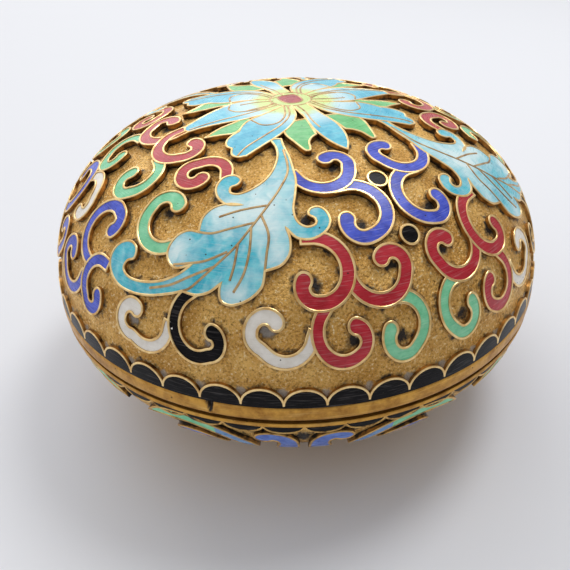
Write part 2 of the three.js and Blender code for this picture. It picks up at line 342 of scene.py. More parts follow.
def enamel(name, pale, deep, cloud=None, ramp=None, scratch=0.16, pits=0.5, shine=0.4):
    # Glass paste fired in the cells, then ground flush with the wires: it has an even half gloss,
    # fine grinding lines round the box, slow mottling and a few burst bubbles that hold dirt.
    material, tree, surface = newMaterial(name)
    place = addNode(tree, "TexCoord", {}, "Object")
    mottle = addNode(tree, "TexNoise", {"Vector": place, "Scale": perMm(1.6), "Detail": 4, "Roughness": 0.65})
    share = addNode(tree, "MapRange", {0: mottle, 1: 0.35, 2: 0.68})
    colour = addNode(tree, "Mix", colours | {0: share, 6: deep, 7: pale}, 2)
    if cloud or ramp:
        amount = addNode(tree, "Attribute", {"attribute_name": "cloud"}, "Fac")
    if cloud:  # white stirred into the paste, in wisps
        wisps = addNode(tree, "TexNoise", {"Vector": place, "Scale": perMm(1.7), "Detail": 6,
                                           "Distortion": 0.9})
        uneven = addNode(tree, "Math", {"operation": "MULTIPLY_ADD", 0: wisps, 1: 1.1, 2: amount})
        share = addNode(tree, "MapRange", {0: uneven, 1: 0.5, 2: 1.3, 4: 0.9})
        colour = addNode(tree, "Mix", colours | {0: share, 6: colour, 7: cloud}, 2)
    if ramp:  # two more pastes laid towards the middle
        uneven = addNode(tree, "Math", {"operation": "MULTIPLY_ADD", 0: mottle, 1: 0.16, 2: amount})
        for starts, ends, most, paste in ((0.7, 0.54, 0.65, ramp[0]), (0.48, 0.38, 1, ramp[1])):
            share = addNode(tree, "MapRange", {0: uneven, 1: starts, 2: ends, 4: most})
            colour = addNode(tree, "Mix", colours | {0: share, 6: colour, 7: paste}, 2)
    # noise on the distance out less the height, stretched along x and y, runs round the box in fine lines
    x, y, z = (addNode(tree, "SeparateXYZ", {0: place}, axis) for axis in range(3))
    squared = addNode(tree, "Math", {"operation": "MULTIPLY", 0: x, 1: x})
    squared = addNode(tree, "Math", {"operation": "MULTIPLY_ADD", 0: y, 1: y, 2: squared})
    radius = addNode(tree, "Math", {"operation": "SQRT", 0: squared})
    outward = addNode(tree, "Math", {"operation": "SUBTRACT", 0: radius, 1: z})
    line = addNode(tree, "CombineXYZ", {0: outward, 1: x, 2: y})
    line = addNode(tree, "Mapping", {"Vector": line, "Scale": (1, 0.07, 0.07)})
    grinding = addNode(tree, "TexNoise", {"Vector": line, "Scale": perMm(0.2), "Detail": 2})
    worn = addNode(tree, "MapRange", {0: grinding, 1: 0.56, 2: 0.72, 4: scratch})
    colour = addNode(tree, "Mix", colours | {0: worn, 6: colour, 7: "#efe6e0"}, 2)
    bubbles = addNode(tree, "TexVoronoi", {"Vector": place, "Scale": perMm(1.2)})
    pit = addNode(tree, "MapRange", {0: bubbles, 1: 0.1, 2: 0.06})
    kept = addNode(tree, "Math", {"operation": "LESS_THAN", 0: bubbles.node.outputs["Color"], 1: pits})
    pit = addNode(tree, "Math", {"operation": "MULTIPLY", 0: pit, 1: kept})
    colour = addNode(tree, "Mix", colours | {0: pit, 6: colour, 7: "#1a1512"}, 2)
    rough = addNode(tree, "MapRange", {0: grinding, 1: 0.3, 2: 0.75, 3: 0.24, 4: 0.42})
    height = addNode(tree, "Math", {"operation": "SUBTRACT", 0: grinding, 1: pit})
    bump = addNode(tree, "Bump", {"Height": height, "Strength": 0.5, "Distance": 0.04 * mm})
    glass = addNode(tree, "BsdfPrincipled", {"Base Color": colour, "Roughness": rough, "IOR": 1.52,
                                            "Specular IOR Level": shine, "Normal": bump})
    tree.links.new(glass, surface)
    return material


def giltWire(name, bright, worn, grimeAndShade=0.9):
    # Flat copper wire, gilt after firing: its top is rubbed bright, its sides are duller, dark in patches,
    # and dirt with painted shade lies along its foot.
    material, tree, surface = newMaterial(name)
    place = addNode(tree, "TexCoord", {}, "Object")
    rise = addNode(tree, "Attribute", {"attribute_name": "rise"}, "Fac")
    patches = addNode(tree, "TexNoise", {"Vector": place, "Scale": perMm(1.3), "Detail": 4})
    share = addNode(tree, "MapRange", {0: patches, 1: 0.4, 2: 0.75})
    gold = addNode(tree, "Mix", colours | {0: share, 6: bright, 7: worn}, 2)
    share = addNode(tree, "MapRange", {0: patches, 1: 0.42, 2: 0.68})
    side = addNode(tree, "Mix", colours | {0: share, 6: "#c39352", 7: "#4a2f16"}, 2)
    share = addNode(tree, "MapRange", {0: rise, 1: 0.86, 2: 0.94})
    colour = addNode(tree, "Mix", colours | {0: share, 6: side, 7: gold}, 2)
    # dirt and painted shade darken the wire towards its foot
    level = addNode(tree, "Math", {"operation": "MULTIPLY_ADD", 0: patches, 1: -grimeAndShade, 2: rise})
    undarkened = addNode(tree, "MapRange", {0: level, 1: -0.2, 2: 0.12})
    colour = addNode(tree, "Mix", colours | {0: undarkened, 6: "#140d09", 7: colour}, 2)
    metal = addNode(tree, "MapRange", {0: undarkened, 3: 0.1, 4: 0.9})
    rough = addNode(tree, "MapRange", {0: patches, 1: 0.3, 2: 0.7, 3: 0.3, 4: 0.45})
    fine = addNode(tree, "TexNoise", {"Vector": place, "Scale": perMm(0.25), "Detail": 2})
    bump = addNode(tree, "Bump", {"Height": fine, "Strength": 0.3, "Distance": 0.02 * mm})
    gilt = addNode(tree, "BsdfPrincipled", {"Base Color": colour, "Metallic": metal, "Roughness": rough,
                                           "Normal": bump})
    tree.links.new(gilt, surface)
    return material


def giltGround():
    # Etched copper ground, gilt and left matt: sandy grains with painted glints on them, brown in the
    # hollows, black dirt and painted shade in the curls and along the walls, and grey flux in the notches of
    # the border.
    material, tree, surface = newMaterial("sandy gilt ground")
    place = addNode(tree, "TexCoord", {}, "Object")
    marks = ("clear", "sootAndShade", "chalk")  # mm from a wire, from a spot of soot and painted shade, and from a chalky one
    clear, sootAndShade, chalk = (addNode(tree, "Attribute", {"attribute_name": mark}, "Fac") for mark in marks)
    sand = addNode(tree, "TexNoise", {"Vector": place, "Scale": perMm(0.34), "Detail": 4, "Roughness": 0.7})
    broad = addNode(tree, "TexNoise", {"Vector": place, "Scale": perMm(3.5), "Detail": 3})
    grit = addNode(tree, "TexVoronoi", {"Vector": place, "Scale": perMm(0.38)})
    share = addNode(tree, "MapRange", {0: broad, 1: 0.35, 2: 0.65})
    colour = addNode(tree, "Mix", colours | {0: share, 6: "#efc06c", 7: "#cf9b48"}, 2)
    # the grains' tops are tinted pale as painted glints, and their hollows brown
    for starts, ends, tint in ((0.48, 0.3, "#7c5524"), (0.56, 0.7, "#fff0c4")):  # hollows, then bright grains
        share = addNode(tree, "MapRange", {0: sand, 1: starts, 2: ends})
        colour = addNode(tree, "Mix", colours | {0: share, 6: colour, 7: tint}, 2)
    patches = addNode(tree, "TexNoise", {"Vector": place, "Scale": perMm(1.1), "Detail": 4, "Roughness": 0.6})
    # dirt and painted shade: dark along the walls' feet and in the curls' eyes, broken into patches
    edge = addNode(tree, "Math", {"operation": "MULTIPLY_ADD", 0: patches, 1: -1.9, 2: clear})
    edge = addNode(tree, "MapRange", {0: edge, 1: -0.5, 2: -0.95})
    curl = addNode(tree, "Math", {"operation": "MULTIPLY_ADD", 0: patches, 1: -3.0, 2: sootAndShade})
    curl = addNode(tree, "MapRange", {0: curl, 1: -0.3, 2: -1.1})
    dirtAndShade = addNode(tree, "Math", {"operation": "MAXIMUM", 0: edge, 1: curl})
    colour = addNode(tree, "Mix", colours | {0: dirtAndShade, 6: colour, 7: "#1c130c"}, 2)
    flux = addNode(tree, "Math", {"operation": "MULTIPLY_ADD", 0: patches, 1: -1.6, 2: chalk})
    flux = addNode(tree, "MapRange", {0: flux, 1: 0.05, 2: -0.3, 4: 0.8})
    colour = addNode(tree, "Mix", colours | {0: flux, 6: colour, 7: "#aba298"}, 2)
    dull = addNode(tree, "Math", {"operation": "MAXIMUM", 0: dirtAndShade, 1: flux})
    metal = addNode(tree, "MapRange", {0: dull, 3: 0.6, 4: 0})
    rough = addNode(tree, "MapRange", {0: grit, 2: 0.6, 3: 0.3, 4: 0.5})
    height = addNode(tree, "Math", {"operation": "MULTIPLY_ADD", 0: grit, 1: 0.5, 2: sand})
    bump = addNode(tree, "Bump", {"Height": height, "Strength": 1.0, "Distance": 0.24 * mm})
    gilt = addNode(tree, "BsdfPrincipled", {"Base Color": colour, "Metallic": metal, "Roughness": rough,
                                           "Normal": bump})
    tree.links.new(gilt, surface)
    return material


def giltBand():
    # Turned copper band, gilt and rubbed by handling: fine lines round it, brown tarnish, small dark pits,
    # and painted shade in the open joint of the hoop and in the base's groove.
    material, tree, surface = newMaterial("rubbed gilt band")
    place = addNode(tree, "TexCoord", {}, "Object")
    joint = addNode(tree, "Attribute", {"attribute_name": "joint"}, "Fac")
    turned = addNode(tree, "Mapping", {"Vector": place, "Scale": (0.05, 0.05, 1)})
    lines = addNode(tree, "TexNoise", {"Vector": turned, "Scale": perMm(0.18), "Detail": 3})
    patches = addNode(tree, "TexNoise", {"Vector": place, "Scale": perMm(2.0), "Detail": 5,
                                         "Roughness": 0.65})
    share = addNode(tree, "MapRange", {0: patches, 1: 0.4, 2: 0.66})
    colour = addNode(tree, "Mix", colours | {0: share, 6: "#cf9c48", 7: "#a06f31"}, 2)
    share = addNode(tree, "MapRange", {0: lines, 1: 0.55, 2: 0.8, 4: 0.6})
    colour = addNode(tree, "Mix", colours | {0: share, 6: colour, 7: "#e6c078"}, 2)
    pits = addNode(tree, "TexVoronoi", {"Vector": place, "Scale": perMm(1.5)})
    pits = addNode(tree, "MapRange", {0: pits, 1: 0.1, 2: 0.04})
    # dark pits, and painted shade in the joint's notch and in the base's groove
    dark = addNode(tree, "Math", {"operation": "MAXIMUM", 0: pits, 1: joint})
    colour = addNode(tree, "Mix", colours | {0: dark, 6: colour, 7: "#1c1009"}, 2)
    metal = addNode(tree, "MapRange", {0: joint, 3: 0.9, 4: 0.1})
    rough = addNode(tree, "MapRange", {0: patches, 1: 0.3, 2: 0.7, 3: 0.3, 4: 0.46})
    bump = addNode(tree, "Bump", {"Height": lines, "Strength": 0.4, "Distance": 0.03 * mm})
    gilt = addNode(tree, "BsdfPrincipled", {"Base Color": colour, "Metallic": metal, "Roughness": rough,
                                           "Normal": bump})
    tree.links.new(gilt, surface)
    return material


def paper():
    # Matt white card under the box: even and pale, with no gloss.
    material, tree, surface = newMaterial("matt white card")
    card = addNode(tree, "BsdfPrincipled", {"Base Color": "#dedfe3", "Roughness": 0.75})
    tree.links.new(card, surface)
    return material


wireGilt = giltWire("gilt copper wire", "#f8d99c", "#d3a25c")
veinGilt = giltWire("tarnished gilt wire", "#d2b180", "#8f6a44")
# the base's wires have more dirt and painted shade along their feet
sootyAndShadedGilt = giltWire("sooty gilt wire", "#e2b970", "#a87838", grimeAndShade=1.55)
groundGilt = giltGround()
bandGilt = giltBand()
leafBlue = enamel("turquoise enamel clouded with white", "#68d0dc", "#2fafc8", cloud="#e6f8f7")
petalBlue = enamel("turquoise petal enamel", "#74d0e2", "#36abcb", ramp=("#e4f4f4", "#d5e88f"))
sepalGreen = enamel("leaf green enamel", "#7fcf86", "#4fb264")
heartGreen = enamel("yellow green enamel", "#dcec98", "#c8df83")
heartRed = enamel("coral red enamel", "#bb3a40", "#962430")
royalBlue = enamel("royal blue enamel", "#4f63dc", "#2b3cae")
deepRed = enamel("deep red enamel", "#c32a38", "#a81725")
seaGreen = enamel("sea green enamel", "#93deb0", "#6cc692")
milkWhite = enamel("milk white enamel", "#f8f3ea", "#e6dfd3")
pitchBlack = enamel("black enamel", "#120e12", "#040304", scratch=0.06, pits=0.3, shine=0.1)
cornflower = enamel("cornflower blue enamel", "#6d90da", "#4263bb")
skyBlue = enamel("sky blue enamel", "#7eaedd", "#5585bd")
innerBlue = enamel("plain turquoise counter enamel", "#63b9cf", "#3f9bb5")
print("materials made")


# Cells: a strip or sheet of enamel with wire along its edge

def wireRings(line, place):
    # the wire's section at each point: on edge, square to the form, its top corners eased
    half, easing = cell["wire"] / 2, cell["easing"]
    section = [(-half, cell["root"]), (-half, 1 - easing), (easing - half, 1), (half - easing, 1),
               (half, 1 - easing), (half, cell["root"])]
    feet = [place(point, 0) for point in line]
    tops = [place(point, cell["height"]) for point in line]
    rings = []
    count = len(line)
    closed = math.dist(line[0], line[-1]) < 1e-6
    for i in range(count):
        before = feet[i - 1] if i else (feet[-2] if closed else feet[0])
        after = feet[i + 1] if i < count - 1 else (feet[1] if closed else feet[-1])
        arriving = (feet[i] - before).normalized() if (feet[i] - before).length > 1e-9 else None
        leaving = (after - feet[i]).normalized() if (after - feet[i]).length > 1e-9 else arriving
        arriving = arriving or leaving
        post = tops[i] - feet[i]
        upward = post.normalized()
        side = (arriving + leaving).cross(upward).normalized()
        mitre = 1 / max(cell["mitre"], side.dot(leaving.cross(upward).normalized()))
        rings.append([feet[i] + side * (across * mitre * mm) + post * up for across, up in section])
    return rings


def addWire(target, line, place):
    closed = math.dist(line[0], line[-1]) < 1e-6
    rings = wireRings(line, place)
    joinInto(target, sweep(rings[:-1] if closed else rings, closed))


def sectionOver(points, place, top):  # up one side of a cell, across its face and down its other side
    near, far = (place(point, cell["root"]) for point in (points[0], points[-1]))
    return [near] + [place(point, top) for point in points] + [far]


def addStrip(target, left, right, place, top):
    middles = [((a[0] + b[0]) / 2, (a[1] + b[1]) / 2) for a, b in zip(left, right)]
    joinInto(target, sweep([sectionOver(points, place, top) for points in zip(left, middles, right)]))


def addSheet(target, outline, place, top, grid=1.1):
    # any outline: filled flat, cut into a grid so that it can bend, given its depth, then laid on the form
    sheet = bmesh.new()
    corners = [sheet.verts.new((x, y, 0)) for x, y in outline]
    edges = [sheet.edges.new(pair) for pair in zip(corners, corners[1:] + corners[:1])]
    bmesh.ops.triangle_fill(sheet, edges=edges, use_beauty=True, use_dissolve=False)
    for axis in (0, 1):
        low, high = min(p[axis] for p in outline), max(p[axis] for p in outline)
        for i in range(1, int((high - low) / grid) + 1):
            cut = [0, 0, 0]
            cut[axis] = low + i * grid
            bmesh.ops.bisect_plane(sheet, geom=sheet.verts[:] + sheet.edges[:] + sheet.faces[:], dist=1e-4,
                                   plane_co=cut, plane_no=(1 - axis, axis, 0))
    made = bmesh.ops.extrude_face_region(sheet, geom=sheet.faces[:])["geom"]
    bmesh.ops.translate(sheet, verts=[v for v in made if isinstance(v, bmesh.types.BMVert)], vec=(0, 0, 1))
    for vert in sheet.verts:
        vert.co = place((vert.co.x, vert.co.y), top if vert.co.z > 0.5 else cell["root"])
    bmesh.ops.recalc_face_normals(sheet, faces=sheet.faces[:])
    joinInto(target, sheet)


lidWires = bmesh.new()
veinWires = bmesh.new()
baseWires = bmesh.new()
placed = []  # the outlines of cells already laid on the lid, in plan, each with the box round it


def layer():  # each cell lies a hair lower than the one before it, so that where two meet one is on top
    return cell["height"] - cell["sunk"] - cell["step"] * len(placed)


def keepOutline(outline):
    across, along = zip(*outline)
    placed.append((outline, min(across), max(across), min(along), max(along)))


def isCovered(point):
    return any(low <= point[0] <= high and near <= point[1] <= far and inside(point, outline)
               for outline, low, high, near, far in placed)


def lastShown(shown, hidden):  # where a line passes under a cell laid before
    for _ in range(8):
        middle = tuple((a + b) / 2 for a, b in zip(shown, hidden))
        if isCovered(middle):
            hidden = middle
        else:
            shown = middle
    return shown


shortest = 0.02  # mm, closer than which two points of a wire are taken as one


def addVisibleWire(target, outline):  # wire round an outline, only where no cell is laid already
    shown = [not isCovered(point) for point in outline]
    if all(shown):
        addWire(target, outline + outline[:1], onLid)
        return
    start = shown.index(False)
    run = []
    for i in range(len(outline) + 1):
        index = (start + i) % len(outline)
        if shown[index]:
            run.append(outline[index])
        else:
            if len(run) > 2:
                before = outline[index - len(run) - 1]
                line = [lastShown(run[0], before)] + run + [lastShown(run[-1], outline[index])]
                line = [p for p, q in zip(line, line[1:]) if math.dist(p, q) > shortest] + line[-1:]
                addWire(target, line, onLid)
            run = []


def addScroll(target, scroll, sides):
    left, right = (flip(edge, sides) for edge in scrollEdges(scroll))
    addStrip(target, left, right, onLid, layer())
    outline = left + right[::-1]
    addVisibleWire(lidWires, outline)
    keepOutline(outline)


def addCell(target, outline, grid=1.1):
    addSheet(target, outline, onLid, layer(), grid)
    addVisibleWire(lidWires, outline)
    keepOutline(outline)


# The lid's picture is drawn in one quarter and flipped into the others
quarters = {"front_left": (1, 1), "front_right": (1, -1), "back_left": (-1, 1), "back_right": (-1, -1)}

# Flower: plain petals on the centre line, folded ones between and across it, and sepals in the gaps
flower = {
    "reach": 17.1,
    "turned": 2.5,
    "ring": {"middle": (-0.6, 0.1), "radius": 3.1, "count": 30},
    "heart": [
        [(-2.4, -1.3), (-2.6, 0.1), (-2.4, 1.5)],
        [(-2.4, 1.5), (-0.8, 1.75), (0.8, 1.35), (1.4, 0.1), (0.8, -1.15), (-0.8, -1.55), (-2.4, -1.3)],
    ],
    "frontPetal": [
        [(2.2, 1.2), (6.2, 1.3), (8.5, 1.6), (10.8, 1.8), (13.2, 1.6), (15.4, 0.95), (17.0, 0.0)],
        [(17.0, 0.0), (15.4, -0.95), (13.2, -1.6), (10.8, -1.8), (8.5, -1.6), (6.2, -1.3), (2.2, -1.2)],
        [(2.2, -1.2), (1.8, 0.0), (2.2, 1.2)],
    ],
    "cornerPetal": [
        [(1.6, 1.2), (5.6, 2.1), (8.2, 3.8), (10.3, 6.5), (11.7, 9.5), (12.8, 12.3)],
        [(12.8, 12.3), (12.4, 13.4), (11.4, 13.8), (10.2, 13.3)],
        [(10.2, 13.3), (9.2, 13.7), (8.0, 13.2), (7.2, 12.2), (6.7, 11.0)],
        [(6.7, 11.0), (5.3, 9.9), (4.2, 8.4), (3.2, 5.6), (1.0, 2.2)],
        [(1.0, 2.2), (1.2, 1.6), (1.6, 1.2)],
    ],
    "sidePetal": [
        [(-1.5, 2.0), (-3.0, 5.0), (-3.4, 8.2), (-2.5, 11.2), (-1.4, 13.9), (-0.2, 16.6)],
        [(-0.2, 16.6), (0.9, 17.0), (1.8, 16.6)],
        [(1.8, 16.6), (2.1, 14.8), (2.8, 12.0), (3.5, 9.0), (3.2, 5.6), (1.5, 2.0)],
        [(1.5, 2.0), (0.0, 1.8), (-1.5, 2.0)],
    ],
    "frontSepal": [
        [(7.6, 1.4), (10.2, 1.9), (12.3, 2.2)],
        [(12.3, 2.2), (12.8, 3.1), (13.7, 3.9), (14.9, 4.3)],
        [(14.9, 4.3), (15.5, 4.6), (15.4, 5.1), (14.8, 5.3)],
        [(14.8, 5.3), (13.1, 5.6), (11.0, 5.9), (9.2, 5.6)],
        [(9.2, 5.6), (7.8, 3.6), (7.6, 1.4)],
    ],
    "sideSepal": [
        [(2.9, 8.6), (3.7, 10.4), (4.2, 12.9), (5.3, 15.4)],
        [(5.3, 15.4), (6.1, 13.3), (6.7, 11.6), (5.4, 9.6)],
        [(5.4, 9.6), (4.2, 8.4), (2.9, 8.6)],
    ],
    "cornerFolds": [
        [(2.2, 1.8), (5.4, 3.0), (7.8, 5.2), (9.6, 8.4), (11.0, 11.6), (12.2, 13.3)],
        [(1.9, 2.3), (4.4, 3.2), (6.3, 4.4), (7.2, 6.0), (6.6, 7.6), (4.4, 8.3)],
    ],
    "sideFolds": [
        [(0.9, 2.8), (1.6, 5.6), (1.9, 9.0), (1.6, 12.4), (1.3, 16.4)],
        [(0.3, 2.8), (0.7, 5.0), (0.8, 7.6)],
        [(-0.9, 2.8), (-1.7, 5.2), (-2.0, 7.6)],
        [(-0.2, 3.0), (1.2, 5.6), (0.6, 8.6), (-1.2, 9.6), (-2.9, 8.9)],
    ],
    "frontFolds": [[(2.8, 0.5), (5.6, 0.5), (8.2, 0.9), (10.8, 0.9)]],
}


def turnedBy(points, degrees):
    cos, sin = polar(1, degrees)
    return [(x * cos - y * sin, x * sin + y * cos) for x, y in points]


def addPetal(target, name, sides):
    outline = turnedBy(flip(closedOutline(flower[name]), sides), flower["turned"])
    addCell(target, outline)


def makeFlower():
    petals, sepals, disc, red = (bmesh.new() for _ in range(4))
    ring = roundOutline(**flower["ring"])
    for target, outline in ((red, closedOutline(flower["heart"])), (disc, ring)):
        addSheet(target, outline, onLid, layer())
        addWire(veinWires, outline + outline[:1], onLid)
        keepOutline(outline)
    ends, sideways, corners = ((1, 1), (-1, 1)), ((1, 1), (-1, -1)), tuple(quarters.values())
    for kind, signs in (("front", ends), ("side", sideways), ("corner", corners)):
        for sides in signs:
            for fold in flower[kind + "Folds"]:
                addWire(veinWires, turnedBy(flip(smoothLine(fold), sides), flower["turned"]), onLid)
            addPetal(petals, kind + "Petal", sides)
    for sides in corners:
        for name in ("frontSepal", "sideSepal"):
            addPetal(sepals, name, sides)
    made = finishPiece("flowerPetals", petals, [petalBlue], ["lid_flower"])
    paint(made, "cloud", lambda co: math.hypot(*planOf(co)) / flower["reach"])
    finishPiece("flowerSepals", sepals, [sepalGreen])
    finishPiece("flowerRing", disc, [heartGreen])
    finishPiece("flowerHeart", red, [heartRed])


# Leaf: its outline, as strokes that meet in corners, and its veins
leaf = {
    "outline": [
        [(11.2, 7.4), (13.0, 7.9), (15.3, 8.3), (17.5, 8.9), (19.7, 9.6), (21.6, 10.7), (23.5, 11.9),
         (25.2, 12.2), (26.3, 11.5), (26.4, 10.4), (25.7, 10.1), (24.9, 10.6), (24.3, 10.1), (24.4, 9.1),
         (25.3, 8.5), (26.7, 8.6), (27.7, 9.7), (27.9, 11.6), (27.0, 13.2), (25.2, 13.8)],
        [(25.2, 13.8), (26.7, 14.0), (28.3, 14.9), (29.0, 16.5), (28.6, 18.4)],
        [(28.6, 18.4), (30.0, 19.6), (30.4, 21.7), (29.8, 23.8), (28.6, 24.7), (27.4, 24.2), (26.9, 23.6)],
        [(26.9, 23.6), (26.9, 25.4), (26.1, 27.1), (24.6, 28.3)],
        [(24.6, 28.3), (23.7, 29.9), (21.9, 32.3), (19.7, 34.2), (17.2, 35.4), (14.9, 35.4), (13.2, 34.4),
         (12.8, 32.6), (13.8, 31.0), (15.4, 30.6), (16.4, 31.5), (15.8, 32.6), (16.2, 33.6), (17.8, 33.5),
         (19.8, 32.2), (21.6, 30.1), (22.6, 27.7), (22.8, 25.6)],
        [(22.8, 25.6), (21.8, 27.5), (20.3, 27.9), (19.0, 27.1), (18.4, 25.4), (18.8, 23.9), (19.8, 23.0)],
        [(19.8, 23.0), (18.4, 21.7), (18.0, 20.0), (18.6, 18.2), (19.7, 16.9)],
        [(19.7, 16.9), (18.6, 18.4), (17.0, 18.9), (15.4, 18.5), (14.4, 17.1), (14.8, 15.7), (15.9, 15.3),
         (16.5, 16.0), (16.4, 16.9), (17.2, 17.3), (18.0, 16.5), (18.2, 14.9), (17.8, 13.0), (16.7, 11.3),
         (14.9, 9.8), (12.9, 8.9), (10.8, 8.7)],
        [(10.8, 8.7), (10.8, 8.0), (11.2, 7.4)],
    ],
    "veins": [
        [(13.6, 8.3), (17.5, 9.6), (19.8, 11.8), (21.6, 14.5), (23.2, 17.6), (24.3, 20.4), (24.8, 23.6),
         (25.0, 27.0), (24.6, 28.3)],
        [(22.3, 15.6), (25.0, 16.0), (27.0, 17.3), (28.6, 18.4)],
        [(23.0, 17.3), (25.6, 18.9), (27.6, 20.8), (28.7, 22.9)],
        [(24.0, 19.6), (26.0, 21.2), (27.3, 22.6)],
        [(22.8, 16.6), (21.8, 19.6), (21.0, 21.7), (19.8, 23.0)],
        [(24.2, 21.2), (23.5, 24.0), (22.2, 26.2), (21.2, 27.6)],
        [(24.8, 23.4), (23.9, 26.4), (22.9, 29.3), (21.2, 31.8)],
        [(21.4, 14.4), (20.3, 17.4), (19.6, 20.0)],
    ],
    "clouds": [  # each with its place, its radius and how white it is
        (22.0, 15.2, 3.4, 0.8), (19.4, 19.4, 2.4, 0.65), (29.2, 22.8, 2.0, 0.6), (20.0, 26.4, 2.0, 0.75),
        (27.8, 16.4, 2.0, 0.45), (18.4, 11.6, 2.6, 0.35),
    ],
    "eyes": [(16.3, 16.4), (16.0, 32.2), (25.2, 11.1)],  # the middles of its curled ends, where soot and painted shade lie
    "grid": 1.0,
}


def cloudAt(co):  # how white the leaf is, from soft round clouds in its plan
    point = [abs(value) for value in planOf(co)]
    total = sum(strength * math.exp(-(math.dist(point, (x, y)) / radius) ** 2)
                for x, y, radius, strength in leaf["clouds"])
    return min(total, 1)


def makeLeaves():
    sheet = bmesh.new()
    for sides in quarters.values():
        addCell(sheet, flip(closedOutline(leaf["outline"]), sides), leaf["grid"])
        for vein in leaf["veins"]:
            addWire(veinWires, flip(smoothLine(vein), sides), onLid)
    replaced = [f"lid_leaf_{quarter}" for quarter in quarters]
    paint(finishPiece("leafEnamel", sheet, [leafBlue], replaced), "cloud", cloudAt)


# Scrolls in a quarter of the lid. Each springs from one laid before it, at its tail's angle and distance from
# its eye, and turns through so many degrees to the distance called round.
scrolls = {
    "blue_pair": [
        {"eye": (18.9, 3.9), "tail": (88, 5.4), "turn": -290, "round": 1.9},
        {"eye": (28.3, 5.2), "tail": (181, 5.5), "turn": 302, "round": 2.05, "hold": 0.56, "closing": 0.3},
    ],
    "red_spray": [
        {"eye": (32.9, 13.8), "tail": (199, 5.6), "turn": 296, "round": 2.2, "hold": 0.6, "closing": 0.7},
        {"eye": (34.25, 4.0), "tail": (102, 5.6), "turn": -322, "round": 1.95},
        {"eye": (40.5, 12.0), "tail": (154, 5.0), "turn": -300, "round": 2.05, "hold": 0.55, "closing": 0.4},
    ],
    "red_pair": [
        {"eye": (5.2, 18.6), "tail": (188, 5.6), "turn": -301, "round": 1.9, "closing": 0.4},
        {"eye": (11.3, 19.7), "tail": (-54, 4.2), "turn": -323, "round": 1.95, "hold": 0.3, "closing": 0.6},
    ],
    "blue_spray": [
        {"eye": (13.4, 40.5), "tail": (262, 4.9), "turn": -300, "round": 1.9, "hold": 0.42},
        {"eye": (8.9, 31.9), "tail": (88, 5.8), "turn": 297, "round": 1.8, "hold": 0.6, "closing": 0.6},
        {"eye": (3.5, 40.3), "tail": (2, 6.0), "turn": 325, "round": 2.1, "hold": 0.36, "closing": 0.7},
    ],
    "green_front": [
        {"eye": (42.6, 5.2), "tail": (189, 4.7), "turn": 300, "round": 2.4, "hold": 0.45, "closing": 0.3},
    ],
    "green_leaf": [{"eye": (14.0, 25.0), "tail": (23, 5.2), "turn": 265, "round": 2.25, "closing": 0.6}],
    "green_side": [
        {"eye": (4.8, 27.1), "tail": (-91, 4.5), "turn": 300, "round": 2.0, "hold": 0.43, "closing": 0.3},
    ],
    "white_front": [
        {"eye": (34.7, 21.6), "tail": (-54, 5.9), "turn": 311, "round": 2.2, "hold": 0.36, "closing": 0.6},
    ],
    "black": [{"eye": (31.6, 28.9), "tail": (192, 6.3), "turn": -315, "round": 1.6, "closing": 0.3}],
    "white_side": [
        {"eye": (21.7, 36.7), "tail": (-38, 6.3), "turn": 304, "round": 2.05, "hold": 0.3, "closing": 0.4},
    ],
}
# One white scroll stands on the centre line at each side
loneScroll = {"eye": (-0.5, 34.2), "tail": (203, 5.2), "turn": 264, "round": 1.9, "hold": 0.42,
              "closing": 0.3}
scrollEnamels = {
    "Blue": (royalBlue, "enamel_blue", ["blue_pair", "blue_spray"]),
    "Red": (deepRed, "enamel_red", ["red_spray", "red_pair"]),
    "Green": (seaGreen, "enamel_green", ["green_front", "green_leaf", "green_side"]),
    "White": (milkWhite, "enamel_white", ["white_front", "white_side"]),
    "Black": (pitchBlack, "enamel_black", ["black"]),
}
dots = {"arcs": (23.2, 31.6), "radius": 1.25, "count": 24}  # black ones on the centre line


def makeScrolls():
    sheets = {colour: bmesh.new() for colour in scrollEnamels}
    colourOf = {name: colour for colour, (_, _, names) in scrollEnamels.items() for name in names}
    for name, members in scrolls.items():
        for scroll in members:
            for sides in quarters.values():
                addScroll(sheets[colourOf[name]], scroll, sides)
    for sides in ((1, 1), (-1, -1)):
        addScroll(sheets["White"], loneScroll, sides)
    for arc in dots["arcs"]:
        for end in (1, -1):
            outline = roundOutline((arc * end, 0), dots["radius"], dots["count"])
            addSheet(sheets["Black"], outline, onLid, layer())
            addVisibleWire(lidWires, outline)
    for colour, (material, slot, names) in scrollEnamels.items():
        replaced = [f"lid_{name}_{q}" for name in names for q in quarters]
        if colour == "White":
            replaced += ["lid_white_left", "lid_white_right"]
        if colour == "Black":
            replaced += [f"lid_dot_{end}_{i}" for end in ("front", "back") for i in (1, 2)]
        finishPiece(f"lid{colour}Scrolls", sheets[colour], [material], replaced)


# Scalloped borders: round arches of wire on a band of black enamel
lidBorder = {"count": 47, "firstCusp": 187.3, "cusp": 50.4, "top": 48.1, "end": 50.75, "perArch": 16,
             "rows": 4, "notch": 1.4}
baseBorder = {"count": 47, "start": -0.1, "cusp": 0.2, "top": 1.5, "perArch": 12, "notch": 0.5}


def archLine(border):
    # one arch, as (share of the pitch, arc or depth), closer together towards its cusps
    reach = border["top"] - border["cusp"]
    turns = [math.pi * k / border["perArch"] for k in range(border["perArch"] + 1)]
    return [(0.5 - 0.5 * math.cos(turn), border["cusp"] + reach * math.sin(turn)) for turn in turns]


